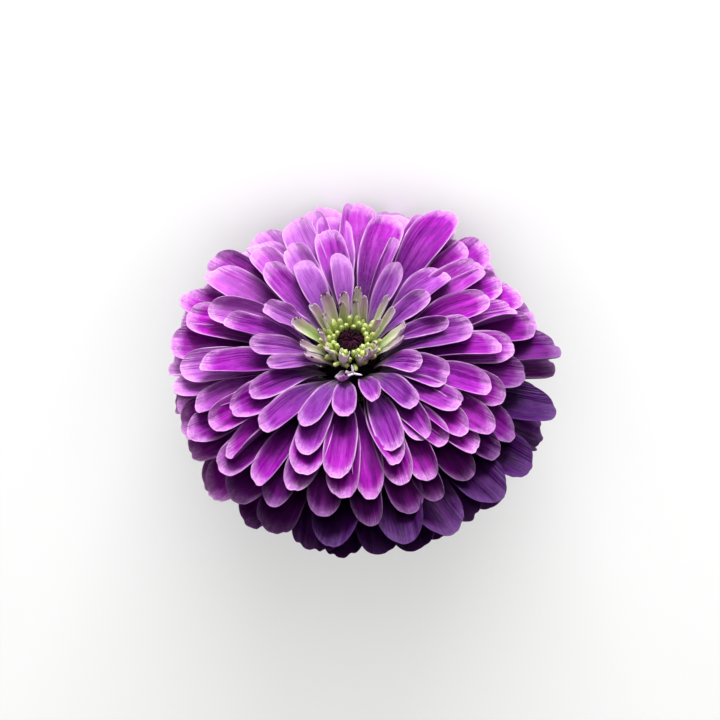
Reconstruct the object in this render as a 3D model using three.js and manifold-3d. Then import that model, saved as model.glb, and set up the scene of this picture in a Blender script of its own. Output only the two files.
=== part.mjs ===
// A cut double zinnia bloom, lying on a surface on its rim petals and the cut end of its short stem.
//
// The bloom is made in its own frame first: millimetres, the stem's axis along +Z, the top of the stem
// at the origin. Every ray petal (a ray floret) starts on the receptacle, the blunt cone in the middle,
// and follows a curve in the plane through the axis. In the four lower whorls the petals are numbered
// from the lowest up, each a golden angle further round, thirteen to a whorl. The five crown whorls
// above them are listed petal by petal. The three lowest whorls are separate petals. In every other
// whorl the packed seed bases form one ring, which joins its petals. At the end the whole bloom is
// turned into the pose in which it rests.
import * as THREE from "three";
import { mergeVertices } from "three/addons/utils/BufferGeometryUtils.js";
import Module from "manifold-3d";

const wasm = await Module();
wasm.setup();

// ---------------------------------------------------------------- sizes, in millimetres and degrees
const GOLDEN_ANGLE = 137.508; // the turn from one floret to the next
const FIRST_AZIMUTH = 26; // where the lowest petal points
const PER_WHORL = 13;
const SPIRAL_WHORLS = 4; // petals placed by the golden angle; the whorls above are listed one by one
const SEPARATE_WHORLS = 3;
const SPIRAL_PETALS = PER_WHORL * SPIRAL_WHORLS;
const SPIRAL_SHARE = 0.41; // how much of the run below the spiral whorls take up

const WHORL_BASE = 11.8; // height of the lowest whorl's petal bases
const WHORL_PITCH = 2.0; // from one whorl's bases to the next
const SEAT_GAP = 0.32; // between a piece and the receptacle that carries it
const RING_WALL = 0.75;
const RING_HEIGHT = 1.3;
const SLIVER = 0.03; // facets thinner than this are merged where pieces are joined

// The run of petal shapes from the lowest petal (along 0) to the highest (along 1).
// tipRadius and tipHeight place the tip; rise and fall are the slopes where it starts and ends.
const PETAL_RUN = [
  { along: 0.0, tipRadius: 47.5, tipHeight: 6.5, width: 13.2, rise: 2, fall: -42 },
  { along: 0.2, tipRadius: 50.0, tipHeight: 12.0, width: 13.6, rise: 8, fall: -36 },
  { along: 0.4, tipRadius: 50.5, tipHeight: 19.0, width: 13.2, rise: 17, fall: -31 },
  { along: 0.6, tipRadius: 48.5, tipHeight: 25.5, width: 12.2, rise: 28, fall: -25 },
  { along: 0.75, tipRadius: 42.0, tipHeight: 31.0, width: 10.4, rise: 39, fall: -16 },
  { along: 0.88, tipRadius: 31.0, tipHeight: 35.5, width: 8.0, rise: 52, fall: -4 },
  { along: 1.0, tipRadius: 19.0, tipHeight: 38.5, width: 5.6, rise: 62, fall: 10 },
];
const CROWN_FROM = 0.6; // where on the run the crown's longest petals are
// The whorls above the spiral, from the outside in: how far their petals' tips lie above the run, each
// petal's azimuth, reach and width, and for a petal that stands out of its whorl how much higher its
// tip is.
const CROWN_WHORLS = [
  {
    lift: -1.6,
    rows: [
      [12, 50.5, 11], [28, 51, 11.4], [46, 51, 11.4], [67, 50.5, 8.6], [88, 50, 11.4], [105, 49.5, 10.6],
      [121, 49.4, 10.8], [139, 49.4, 12.4], [157, 48.4, 11], [173, 48, 10.6], [191, 47, 10.4],
      [209, 47.5, 10.4], [227, 47, 10.4], [244, 47.5, 10], [261, 46.5, 10], [275, 48.4, 10],
      [288, 47.4, 10], [300, 47, 9.6], [312, 46.5, 9.4], [323, 47.4, 9.8], [335, 48.4, 10],
      [351, 46, 10.4],
    ],
  },
  {
    lift: -0.3,
    rows: [
      [0, 43, 9.8], [17, 46, 10.4], [33, 47, 10.6], [50, 46, 10], [75, 48.4, 12.8], [97, 46, 10.4],
      [111, 46.5, 9.6], [126, 46.5, 10.6], [146, 46, 11], [166, 45, 10.4], [188, 44.5, 10],
      [201, 43.6, 9.4], [213, 42.5, 9.6], [225, 44.2, 9], [239, 45.2, 8.4], [252, 43.5, 9],
      [266, 43.2, 10], [277, 43.6, 8.4], [290, 42, 8.8], [302, 43, 9.4], [316, 43.5, 9.4],
      [329, 43.5, 9.2], [341, 42.5, 9.6],
    ],
  },
  {
    lift: 0.9,
    rows: [
      [0, 39, 8.8], [22, 39, 9.2], [39, 43.5, 9.8], [58, 52.5, 12.4, 5], [79, 45, 10.5],
      [112, 43.5, 10.2], [131, 40, 9], [158, 39, 9.2], [190, 39.5, 9], [214, 37, 9], [249, 40, 10, -0.5],
      [266, 39.5, 9.6], [289, 37.5, 8.8, -1.2], [306, 38, 9, -0.4], [319, 39.5, 9.2], [338, 38.5, 9.8],
    ],
  },
  {
    lift: 0.9,
    rows: [
      [6, 32, 9], [41, 34.5, 9.4], [70, 34, 6], [98, 37, 9], [119, 34.5, 8.4], [137, 32.5, 7.6],
      [171, 33.5, 7.8], [212, 31, 6.8], [231, 35, 8.8], [248, 35.5, 8.2], [293, 34, 8], [309, 34.5, 8.4],
      [322, 34.5, 8], [335, 28, 8.8],
    ],
  },
  {
    lift: 0.9,
    rows: [
      [13, 26, 5.4], [34, 24.5, 6.2], [60, 26, 5.8], [97, 27, 6.6], [123, 28, 7.8], [155, 25, 6.2],
      [185, 26.5, 5.8], [203, 23.5, 5], [247, 29.5, 6.2], [263, 24.5, 7], [289, 21, 6], [309, 27, 7.8],
      [334, 20.5, 6.2],
    ],
  },
];

// How blades are made. The claw, the narrow foot of a blade, and the cup, how far its edges stand above
// its middle, are shares of its width. The stations are the shares of its length with a cross-section.
const LONG_STATIONS = [0, 0.17, 0.38, 0.6, 0.79, 0.92, 0.985];
const SHORT_STATIONS = [0, 0.3, 0.6, 0.85, 0.97];
const PETAL_BLADE = { claw: 0.16, cup: 0.075, thickness: 0.75, stations: LONG_STATIONS };
const YOUNG_BLADE = { claw: 0.4, cup: 0.12, thickness: 0.7, stations: SHORT_STATIONS };
const BRACT_BLADE = { claw: 0.55, cup: 0.1, thickness: 0.7, stations: SHORT_STATIONS };
const BEND_SHARE = 0.36; // how much of its length a blade takes to bend away at each end
const WIDENS_FROM = 0.04; // share of the length where the claw starts to widen
const WIDEST_AT = 0.72;
const CUPS_FROM = 0.1;
const CUPPED_AT = 0.5;
const TIP_ROUNDING = { power: 2.4, root: 0.55 }; // a circle has 2 and 0.5, a blunter tip has more

// How much single petals stray from the run, so that no two are alike.
const STRAY = { azimuth: 2.2, reach: 0.03, height: 0.5, width: 0.06, roll: 3.5, sweep: 1.2 };
const STRAY_KEYS = Object.keys(STRAY);
// The bloom isn't quite round: its petals reach further on one side and hang lower on another.
const REACHING = { azimuth: 20, share: 0.055 };
const HANGING = { azimuth: -80, drop: 2.0 };

// Young, narrow, upright rays round the eye, from the outside in: each one's azimuth, reach, tip height
// and width.
const YOUNG_WHORLS = [
  {
    name: "young_rays_outer",
    height: 29.9,
    rows: [
      [5, 15, 40, 3.4], [28, 13.5, 41.5, 2.6], [45, 15, 42, 2.2], [63, 11, 42.5, 2.6], [83, 12, 45, 2.8],
      [105, 11.5, 43, 3], [125, 13, 44, 4], [144, 13, 43, 3.2], [166, 16, 41, 3.6], [190, 14.5, 40, 2.6],
      [212, 14, 39.5, 3.2], [262, 12.5, 38, 3], [352, 14.5, 40.5, 2.6],
    ],
  },
  {
    name: "young_rays_inner",
    height: 31.9,
    rows: [
      [20, 8.5, 42.5, 2.2], [75, 9, 42.5, 2.4], [112, 9, 42.5, 2.4], [150, 9, 42, 2.6], [185, 9, 41.5, 2.4],
      [222, 8.5, 41, 2.4], [249, 8, 42.5, 2.8], [300, 8, 41.5, 2.6], [323, 8.5, 42.5, 2.8],
    ],
  },
];
const YOUNG_RISE = 64;
const YOUNG_FALL = 58;

// Bracts of the green cup under the petals, from the outside in.
const BRACT_WHORLS = [
  { name: "bracts_lower", height: 1.9, tip: { radius: 12.6, height: 6.0 }, first: 0 },
  { name: "bracts_middle", height: 3.5, tip: { radius: 12.0, height: 8.1 }, first: 22.5 },
  { name: "bracts_upper", height: 5.4, tip: { radius: 11.2, height: 9.8 }, first: 5 },
];
const BRACTS_PER_WHORL = 8;
const BRACT_WIDTH = 7.4;
const BRACT_RISE = 12;
const BRACT_FALL = 75;

// Yellow-green disc florets round the dark eye, thinner at the foot than at the knob.
const KNOBS = { count: 15, sides: 6, height: 33.9, knobRadius: 0.68, footRadius: 0.45 };
const KNOB_TIP = { radius: 5.5, height: 38.5 };
// The eye's outline from below to its top, as [radius, height].
const EYE = [[2.6, 35.35], [3.3, 36.1], [2.1, 37.3]];
const EYE_TOP = 37.7;
const EYE_SIDES = 14;

// Receptacle radius at each height, as [height, radius].
const RECEPTACLE = [
  [0.35, 3.6], [2.6, 6.6], [6, 8.7], [10, 9.5], [14, 9.2], [18, 8.6],
  [22, 7.8], [26, 6.7], [30, 5.3], [33, 4.1], [35, 3.1],
];
const RECEPTACLE_SIDES = 20;

const STEM_LENGTH = 45;
const STEM_SIDES = 12;
// Stem radius by distance below the head: it swells where it meets the receptacle.
const STEM_RUN = [[0, 3.5], [3, 3.0], [9, 2.5], [24, 2.35], [STEM_LENGTH, 2.5]];

// How far the stem's axis leans from upright as the bloom lies. Its weight is on the cut end of the
// stem and on the rim petals near azimuth 90, which bend up where they meet the surface.
const REST_LEAN = 52;

// ---------------------------------------------------------------- small helpers
const radians = THREE.MathUtils.degToRad;
const lerp = THREE.MathUtils.lerp;
const smoothstep = THREE.MathUtils.smoothstep;
const STEM_AXIS = new THREE.Vector3(0, 0, 1);

// How far floret i strays in one respect: a repeatable number between -1 and 1, times that stray.
function stray(i, key) {
  const x = Math.sin(i * 12.9898 + (STRAY_KEYS.indexOf(key) + 1) * 78.233) * 43758.5453;
  return STRAY[key] * (2 * (x - Math.floor(x)) - 1);
}

// The y at x on a polyline of [x, y] points.
function alongPoints(points, x) {
  const next = points.findIndex(([px]) => px >= x);
  if (next === 0) return points[0][1];
  if (next < 0) return points.at(-1)[1];
  const [x0, y0] = points[next - 1];
  const [x1, y1] = points[next];
  return lerp(y0, y1, (x - x0) / (x1 - x0));
}

const receptacleRadius = (height) => alongPoints(RECEPTACLE, height);

// The surface that the bloom rests on, in the bloom's frame: it rises along +Y from the stem's end.
const surfaceHeight = (y) => (y - STEM_RUN.at(-1)[1]) * Math.tan(radians(REST_LEAN)) - STEM_LENGTH;

function solidFrom(geometry) {
  const bare = new THREE.BufferGeometry();
  bare.setAttribute("position", geometry.getAttribute("position"));
  bare.setIndex(geometry.index);
  const merged = mergeVertices(bare);
  return new wasm.Manifold(
    new wasm.Mesh({
      numProp: 3,
      vertProperties: merged.attributes.position.array,
      triVerts: new Uint32Array(merged.index.array),
    }),
  );
}

// An outline of [radius, height] points turned round the stem's axis.
function turned(outline, sides) {
  const profile = outline.map(([radius, height]) => new THREE.Vector2(radius, height));
  return new THREE.LatheGeometry(profile, sides).rotateX(Math.PI / 2);
}

function geometryFrom(solid) {
  const mesh = solid.getMesh();
  const geometry = new THREE.BufferGeometry();
  geometry.setAttribute("position", new THREE.BufferAttribute(mesh.vertProperties, 3));
  geometry.setIndex(new THREE.BufferAttribute(mesh.triVerts, 1));
  geometry.computeVertexNormals();
  return geometry;
}

// ---------------------------------------------------------------- a petal, young ray or bract
// shape holds the azimuth, base and tip (each a radius and a height), rise, fall, width, roll, sweep and
// one of the kinds of blade.
function bladeCurve(shape) {
  const { base, tip } = shape;
  const handle = BEND_SHARE * Math.hypot(tip.radius - base.radius, tip.height - base.height);
  const at = (point, angle, distance) =>
    new THREE.Vector2(
      point.radius + distance * Math.cos(radians(angle)),
      point.height + distance * Math.sin(radians(angle)),
    );
  return new THREE.CubicBezierCurve(
    at(base, 0, 0),
    at(base, shape.rise, handle),
    at(tip, shape.fall, -handle),
    at(tip, 0, 0),
  );
}

// Half the blade's width at a share of its length: a narrow claw, a broad blade and a blunt tip.
function halfWidth(shape, share) {
  const widening = lerp(shape.claw, 1, smoothstep(share, WIDENS_FROM, WIDEST_AT));
  const past = Math.max(0, (share - WIDEST_AT) / (1 - WIDEST_AT));
  const rounding = Math.pow(1 - Math.pow(past, TIP_ROUNDING.power), TIP_ROUNDING.root);
  return (shape.width / 2) * widening * rounding;
}

// One cross-section of a blade: its two thin edges, and the top and bottom of its middle. A section
// that would dip into the surface below the bloom is raised to it.
function bladeSection(shape, share, middle, along) {
  const half = halfWidth(shape, share);
  const lift = 2 * half * shape.cup * smoothstep(share, CUPS_FROM, CUPPED_AT);
  const thick = shape.thickness / 2;
  const side = shape.sweep * share * share;
  const roll = radians(shape.roll) * share;
  const corners = [[-half, lift], [0, -thick], [half, lift], [0, thick]];
  const section = corners.map(([across, up]) => {
    const turnedAcross = across * Math.cos(roll) - up * Math.sin(roll) + side;
    const turnedUp = across * Math.sin(roll) + up * Math.cos(roll);
    const outwards = middle.x - turnedUp * along.y;
    const upwards = middle.y + turnedUp * along.x;
    const point = new THREE.Vector3(outwards, turnedAcross, upwards);
    return point.applyAxisAngle(STEM_AXIS, radians(shape.azimuth));
  });
  const sunk = Math.max(0, ...section.map((point) => surfaceHeight(point.y) - point.z));
  return section.map((point) => point.setZ(point.z + sunk));
}

const CORNERS = 4; // of a section

// A closed blade, sections joined by faces.
function bladeGeometry(shape) {
  const curve = bladeCurve(shape);
  const positions = [];
  for (const share of shape.stations) {
    for (const point of bladeSection(shape, share, curve.getPoint(share), curve.getTangent(share))) {
      positions.push(...point.toArray());
    }
  }
  const index = [];
  const last = (shape.stations.length - 1) * CORNERS;
  for (let first = 0; first < last; first += CORNERS) {
    for (let corner = 0; corner < CORNERS; corner++) {
      const a = first + corner;
      const b = first + ((corner + 1) % CORNERS);
      index.push(a, b, b + CORNERS, a, b + CORNERS, a + CORNERS);
    }
  }
  index.push(0, 2, 1, 0, 3, 2, last, last + 1, last + 2, last, last + 2, last + 3);
  const geometry = new THREE.BufferGeometry();
  geometry.setAttribute("position", new THREE.Float32BufferAttribute(positions, 3));
  geometry.setIndex(index);
  return geometry;
}

// ---------------------------------------------------------------- the ray petals
const onReceptacle = (height) => ({ radius: receptacleRadius(height) + SEAT_GAP, height });
const inRing = (height) => ({ radius: onReceptacle(height).radius + RING_WALL / 2, height });
const whorlHeight = (whorl) => WHORL_BASE + WHORL_PITCH * whorl;

function petalRun(along) {
  const columns = Object.keys(PETAL_RUN[0]);
  const valueOf = (key) => alongPoints(PETAL_RUN.map((row) => [row.along, row[key]]), along);
  return Object.fromEntries(columns.map((key) => [key, valueOf(key)]));
}

// Petal i of the spiral, with its base given.
function spiralPetal(i, base) {
  const run = petalRun((SPIRAL_SHARE * i) / (SPIRAL_PETALS - 1));
  const azimuth = FIRST_AZIMUTH + i * GOLDEN_ANGLE + stray(i, "azimuth");
  const reaching = REACHING.share * Math.cos(radians(azimuth - REACHING.azimuth));
  const hanging = HANGING.drop * Math.cos(radians(azimuth - HANGING.azimuth));
  const tip = {
    radius: run.tipRadius * (1 + stray(i, "reach") + reaching),
    height: run.tipHeight + stray(i, "height") - hanging,
  };
  const width = run.width * (1 + stray(i, "width"));
  const [roll, sweep] = [stray(i, "roll"), stray(i, "sweep")];
  return { ...PETAL_BLADE, azimuth, base, tip, width, roll, sweep, rise: run.rise, fall: run.fall };
}

// The crown's part of the run as [reach, along], from the shortest petal up.
const CROWN_RUN = PETAL_RUN.filter((row) => row.along >= CROWN_FROM).reverse();
const ALONG_BY_REACH = CROWN_RUN.map((row) => [row.tipRadius, row.along]);

// Petal i of the crown, which takes its height and slopes from the place on the run with its reach.
function crownPetal(i, base, lift, [azimuth, reach, width, raised = 0]) {
  const run = petalRun(alongPoints(ALONG_BY_REACH, reach));
  const tip = { radius: reach, height: run.tipHeight + lift + raised + stray(i, "height") };
  const [roll, sweep] = [stray(i, "roll"), stray(i, "sweep")];
  return { ...PETAL_BLADE, azimuth, base, tip, width, roll, sweep, rise: run.rise, fall: run.fall };
}

// ---------------------------------------------------------------- joined whorls
// The ring of packed seed bases round the receptacle that joins one whorl.
function ringGeometry(height) {
  const low = onReceptacle(height - RING_HEIGHT / 2);
  const high = onReceptacle(height + RING_HEIGHT / 2);
  const outline = [
    [low.radius, low.height],
    [low.radius + RING_WALL, low.height],
    [high.radius + RING_WALL, high.height],
    [high.radius, high.height],
    [low.radius, low.height],
  ];
  return turned(outline, RECEPTACLE_SIDES);
}

// A ring at this height and what stands in it, as one solid.
function joined(height, standing) {
  const whole = wasm.Manifold.union([ringGeometry(height), ...standing].map(solidFrom));
  return geometryFrom(whole.simplify(SLIVER));
}

// ---------------------------------------------------------------- the pieces
const finish = (color, roughness) => new THREE.MeshStandardMaterial({ color, roughness, metalness: 0 });
const PETAL_PURPLE = finish(0xa92dbc, 0.6);
const PETAL_LILAC = finish(0xa064b4, 0.6);
const YOUNG_GREEN = finish(0xb7c08a, 0.6);
const KNOB_YELLOW = finish(0xcfe08a, 0.55);
const EYE_DARK = finish(0x2a0a24, 0.7);
const LEAF_GREEN = finish(0x5f8a3c, 0.65);
const CORE_GREEN = finish(0x8fa560, 0.7);

function piece(name, geometry, material) {
  const mesh = new THREE.Mesh(geometry, material);
  mesh.name = name;
  return mesh;
}

function makeSeparatePetal(i) {
  const base = onReceptacle(whorlHeight(Math.floor(i / PER_WHORL)));
  const number = String(i + 1).padStart(2, "0");
  return piece(`ray_petal_${number}`, bladeGeometry(spiralPetal(i, base)), PETAL_PURPLE);
}

// The shapes of one joined whorl's petals: the spiral's first, and above it the listed ones.
function whorlShapes(whorl) {
  const first = whorl * PER_WHORL;
  const base = inRing(whorlHeight(whorl));
  if (whorl < SPIRAL_WHORLS) {
    return Array.from({ length: PER_WHORL }, (_, j) => spiralPetal(first + j, base));
  }
  const { lift, rows } = CROWN_WHORLS[whorl - SPIRAL_WHORLS];
  return rows.map((row, j) => crownPetal(first + j, base, lift, row));
}

function makePetals() {
  const group = new THREE.Group();
  for (let i = 0; i < SEPARATE_WHORLS * PER_WHORL; i++) {
    group.add(makeSeparatePetal(i));
  }
  const whorls = SPIRAL_WHORLS + CROWN_WHORLS.length;
  for (let whorl = SEPARATE_WHORLS; whorl < whorls; whorl++) {
    const petals = joined(whorlHeight(whorl), whorlShapes(whorl).map(bladeGeometry));
    const material = whorl === whorls - 1 ? PETAL_LILAC : PETAL_PURPLE;
    group.add(piece(`ray_whorl_${whorl + 1}`, petals, material));
  }
  return group;
}

function makeYoungRays() {
  const group = new THREE.Group();
  for (const { name, height, rows } of YOUNG_WHORLS) {
    const rays = rows.map(([azimuth, radius, tipHeight, width]) =>
      bladeGeometry({
        ...YOUNG_BLADE,
        azimuth,
        base: inRing(height),
        tip: { radius, height: tipHeight },
        rise: YOUNG_RISE,
        fall: YOUNG_FALL,
        width,
        roll: 0,
        sweep: 0,
      }),
    );
    group.add(piece(name, joined(height, rays), YOUNG_GREEN));
  }
  return group;
}

function makeBracts() {
  const group = new THREE.Group();
  for (const { name, height, tip, first } of BRACT_WHORLS) {
    const bracts = Array.from({ length: BRACTS_PER_WHORL }, (_, j) =>
      bladeGeometry({
        ...BRACT_BLADE,
        azimuth: first + (360 / BRACTS_PER_WHORL) * j,
        base: inRing(height),
        tip,
        rise: BRACT_RISE,
        fall: BRACT_FALL,
        width: BRACT_WIDTH,
        roll: 0,
        sweep: 0,
      }),
    );
    group.add(piece(name, joined(height, bracts), LEAF_GREEN));
  }
  return group;
}

function makeDiscFlorets() {
  const base = inRing(KNOBS.height);
  const [out, up] = [KNOB_TIP.radius - base.radius, KNOB_TIP.height - base.height];
  const length = Math.hypot(out, up);
  const knobs = Array.from({ length: KNOBS.count }, (_, j) =>
    new THREE.CylinderGeometry(KNOBS.knobRadius, KNOBS.footRadius, length, KNOBS.sides)
      .rotateX(Math.PI / 2)
      .translate(0, 0, length / 2)
      .rotateY(Math.atan2(out, up))
      .translate(base.radius, 0, base.height)
      .rotateZ((2 * Math.PI * j) / KNOBS.count),
  );
  return piece("disc_florets", joined(KNOBS.height, knobs), KNOB_YELLOW);
}

function makeEye() {
  const outline = [[0, EYE[0][1]], ...EYE, [0, EYE_TOP]];
  return piece("eye", turned(outline, EYE_SIDES), EYE_DARK);
}

function makeReceptacle() {
  const outline = RECEPTACLE.map(([height, radius]) => [radius, height]);
  const closed = [[0, outline[0][1]], ...outline, [0, outline.at(-1)[1]]];
  return piece("receptacle", turned(closed, RECEPTACLE_SIDES), CORE_GREEN);
}

function makeStem() {
  const outline = STEM_RUN.toReversed().map(([below, radius]) => [radius, -below]);
  return piece("stem", turned([[0, -STEM_LENGTH], ...outline, [0, 0]], STEM_SIDES), LEAF_GREEN);
}

// ---------------------------------------------------------------- the bloom, laid down
const bloom = new THREE.Group();
bloom.add(makeStem(), makeReceptacle(), makeBracts(), makePetals());
bloom.add(makeYoungRays(), makeDiscFlorets(), makeEye());

// Its face looks towards -Y and up; the rim at azimuth 90 of the bloom's own frame is the lowest.
bloom.rotation.set(radians(REST_LEAN), 0, Math.PI, "XYZ");

// The origin is under the middle of the laid-down bloom, on the surface.
const zinnia = new THREE.Group();
zinnia.add(bloom);
const reach = new THREE.Box3().setFromObject(zinnia, true);
const middle = reach.getCenter(new THREE.Vector3());
bloom.position.set(-middle.x, -middle.y, -reach.min.z);

export default zinnia;
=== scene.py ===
"""The looks of a cut double zinnia bloom, which lies on its rim petals and the cut end of its stem.

Everything is first worked out in the bloom's own frame: millimetres, the stem's axis along +Z and the
top of the stem at the origin. lay_down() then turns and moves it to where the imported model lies.
"""
import math

import bpy
import numpy as np
from mathutils import Matrix, Vector


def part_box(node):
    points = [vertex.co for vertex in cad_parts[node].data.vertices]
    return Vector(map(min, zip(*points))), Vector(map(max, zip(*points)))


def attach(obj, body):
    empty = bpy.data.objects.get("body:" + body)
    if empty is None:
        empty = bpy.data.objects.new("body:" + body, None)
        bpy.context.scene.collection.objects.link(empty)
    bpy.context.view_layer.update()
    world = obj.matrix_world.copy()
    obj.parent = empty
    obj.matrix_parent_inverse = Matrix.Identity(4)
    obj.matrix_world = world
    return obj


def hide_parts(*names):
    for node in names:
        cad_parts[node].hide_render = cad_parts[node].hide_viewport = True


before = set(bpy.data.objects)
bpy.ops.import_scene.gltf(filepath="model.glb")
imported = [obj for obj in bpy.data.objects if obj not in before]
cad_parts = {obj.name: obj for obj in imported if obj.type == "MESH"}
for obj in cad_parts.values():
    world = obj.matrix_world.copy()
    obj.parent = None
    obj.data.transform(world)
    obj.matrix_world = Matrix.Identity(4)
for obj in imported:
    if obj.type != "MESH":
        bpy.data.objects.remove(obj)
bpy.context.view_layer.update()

MM = 0.001

# --- petals, in millimetres and degrees
GOLDEN_ANGLE = 137.508  # the turn from one floret to the next
FIRST_AZIMUTH = 26
PER_WHORL = 13
SPIRAL_WHORLS = 4  # placed by the golden angle; those above are listed petal by petal
SEPARATE_WHORLS = 3  # their petals are CAD nodes of their own
SPIRAL_SHARE = 0.41  # how much of the run below the spiral whorls take up
WHORL_BASE = 11.8
WHORL_PITCH = 2.0
SEAT_GAP = 0.32
RING_WALL = 0.75

# The run of petal shapes from the lowest petal (along 0) to the highest (along 1).
RUN_COLUMNS = ("along", "reach", "height", "width", "rise", "fall")
PETAL_RUN = np.array([
    [0, 47.5, 6.5, 13.2, 2, -42],
    [0.2, 50.0, 12.0, 13.6, 8, -36],
    [0.4, 50.5, 19.0, 13.2, 17, -31],
    [0.6, 48.5, 25.5, 12.2, 28, -25],
    [0.75, 42.0, 31.0, 10.4, 39, -16],
    [0.88, 31.0, 35.5, 8.0, 52, -4],
    [1, 19, 38.5, 5.6, 62, 10],
])
CROWN_FROM = 0.6
# The whorls above the spiral, from the outside in: how far their tips lie above the run, and each petal's
# azimuth, reach and width, and how much higher its tip is where it stands out of its whorl.
CROWN_WHORLS = [
    (-1.6, [
        [12, 50.5, 11], [28, 51, 11.4], [46, 51, 11.4], [67, 50.5, 8.6], [88, 50, 11.4], [105, 49.5, 10.6],
        [121, 49.4, 10.8], [139, 49.4, 12.4], [157, 48.4, 11], [173, 48, 10.6], [191, 47, 10.4],
        [209, 47.5, 10.4], [227, 47, 10.4], [244, 47.5, 10], [261, 46.5, 10], [275, 48.4, 10],
        [288, 47.4, 10], [300, 47, 9.6], [312, 46.5, 9.4], [323, 47.4, 9.8], [335, 48.4, 10],
        [351, 46, 10.4],
    ]),
    (-0.3, [
        [0, 43, 9.8], [17, 46, 10.4], [33, 47, 10.6], [50, 46, 10], [75, 48.4, 12.8], [97, 46, 10.4],
        [111, 46.5, 9.6], [126, 46.5, 10.6], [146, 46, 11], [166, 45, 10.4], [188, 44.5, 10],
        [201, 43.6, 9.4], [213, 42.5, 9.6], [225, 44.2, 9], [239, 45.2, 8.4], [252, 43.5, 9],
        [266, 43.2, 10], [277, 43.6, 8.4], [290, 42, 8.8], [302, 43, 9.4], [316, 43.5, 9.4],
        [329, 43.5, 9.2], [341, 42.5, 9.6],
    ]),
    (0.9, [
        [0, 39, 8.8], [22, 39, 9.2], [39, 43.5, 9.8], [58, 52.5, 12.4, 5], [79, 45, 10.5],
        [112, 43.5, 10.2], [131, 40, 9], [158, 39, 9.2], [190, 39.5, 9], [214, 37, 9], [249, 40, 10, -0.5],
        [266, 39.5, 9.6], [289, 37.5, 8.8, -1.2], [306, 38, 9, -0.4], [319, 39.5, 9.2], [338, 38.5, 9.8],
    ]),
    (0.9, [
        [6, 32, 9], [41, 34.5, 9.4], [70, 34, 6], [98, 37, 9], [119, 34.5, 8.4], [137, 32.5, 7.6],
        [171, 33.5, 7.8], [212, 31, 6.8], [231, 35, 8.8], [248, 35.5, 8.2], [293, 34, 8], [309, 34.5, 8.4],
        [322, 34.5, 8], [335, 28, 8.8],
    ]),
    (0.9, [
        [13, 26, 5.4], [34, 24.5, 6.2], [60, 26, 5.8], [97, 27, 6.6], [123, 28, 7.8], [155, 25, 6.2],
        [185, 26.5, 5.8], [203, 23.5, 5], [247, 29.5, 6.2], [263, 24.5, 7], [289, 21, 6], [309, 27, 7.8],
        [334, 20.5, 6.2],
    ]),
]
WHORLS = SPIRAL_WHORLS + len(CROWN_WHORLS)
YOUTH = (WHORLS - 3.5, WHORLS - 0.6)  # petals turn from old to young between these whorls

# How much single petals stray from the run: the CAD model's own numbers, made in the same way.
STRAY = {"azimuth": 2.2, "reach": 0.03, "height": 0.5, "width": 0.06, "roll": 3.5, "sweep": 1.2}
HASH_STEPS = (12.9898, 78.233)  # from floret to floret and from key to key
HASH_SCALE = 43758.5453
# The petals reach further on one side of the bloom and hang lower on another.
REACHING = (0.055, 20)  # share of the reach, and azimuth
HANGING = (2.0, -80)
# Whorls bend by this much towards each other on the side where the oldest petals hang.
CLOSING = {3: 1.8, 4: 4.0, 5: -3.0, 6: -1.6}
LOW_AZIMUTH = 304
LOW_SIDE = (-0.1, 0.8)  # the values of facing() between which that side comes in

# --- the other pieces
# Young rays round the eye: each one's azimuth, reach, tip height and width.
YOUNG_WHORLS = {
    "young_rays_outer": (29.9, [
        [5, 15, 40, 3.4], [28, 13.5, 41.5, 2.6], [45, 15, 42, 2.2], [63, 11, 42.5, 2.6], [83, 12, 45, 2.8],
        [105, 11.5, 43, 3], [125, 13, 44, 4], [144, 13, 43, 3.2], [166, 16, 41, 3.6], [190, 14.5, 40, 2.6],
        [212, 14, 39.5, 3.2], [262, 12.5, 38, 3], [352, 14.5, 40.5, 2.6],
    ]),
    "young_rays_inner": (31.9, [
        [20, 8.5, 42.5, 2.2], [75, 9, 42.5, 2.4], [112, 9, 42.5, 2.4], [150, 9, 42, 2.6],
        [185, 9, 41.5, 2.4], [222, 8.5, 41, 2.4], [249, 8, 42.5, 2.8], [300, 8, 41.5, 2.6],
        [323, 8.5, 42.5, 2.8],
    ]),
}
YOUNG_BREADTH = 1.25  # a curled blade is this much wider, laid flat
# The rays that are rolled up like a tube, by azimuth, and how much of their blush they keep.
ROLLED_RAYS = {
    249: {"tip": (8.6, 40.8), "width": 6.0, "curl": 2.3},
    300: {"tip": (8.2, 39.8), "width": 5.6, "curl": 2.0},
    323: {"tip": (9.2, 41.2), "width": 5.6, "curl": 2.3},
}
ROLLED = {"twist": 0, "tip_power": 2.2}
ROLLED_BLUSH = 0.4
CURLED_RAY = {"azimuth": 262, "tip": (12.8, 37.0), "width": 5.2, "curl": 1.5, "twist": 35, "cup": 1.4}
CURLED_BLUSH = 0.95

# Bract whorls of the green cup, from the outside in: base height, tip radius and height, first azimuth.
BRACT_WHORLS = {
    "bracts_lower": (1.9, 12.6, 6.0, 0),
    "bracts_middle": (3.5, 12.0, 8.1, 22.5),
    "bracts_upper": (5.4, 11.2, 9.8, 5),
}
BRACTS_PER_WHORL = 8

# Outlines of turned bodies are points of (radius, height, along), and along is what their colours follow
# from the foot, 0, to the end, 1. The first and last point lie on the axis.

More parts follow.
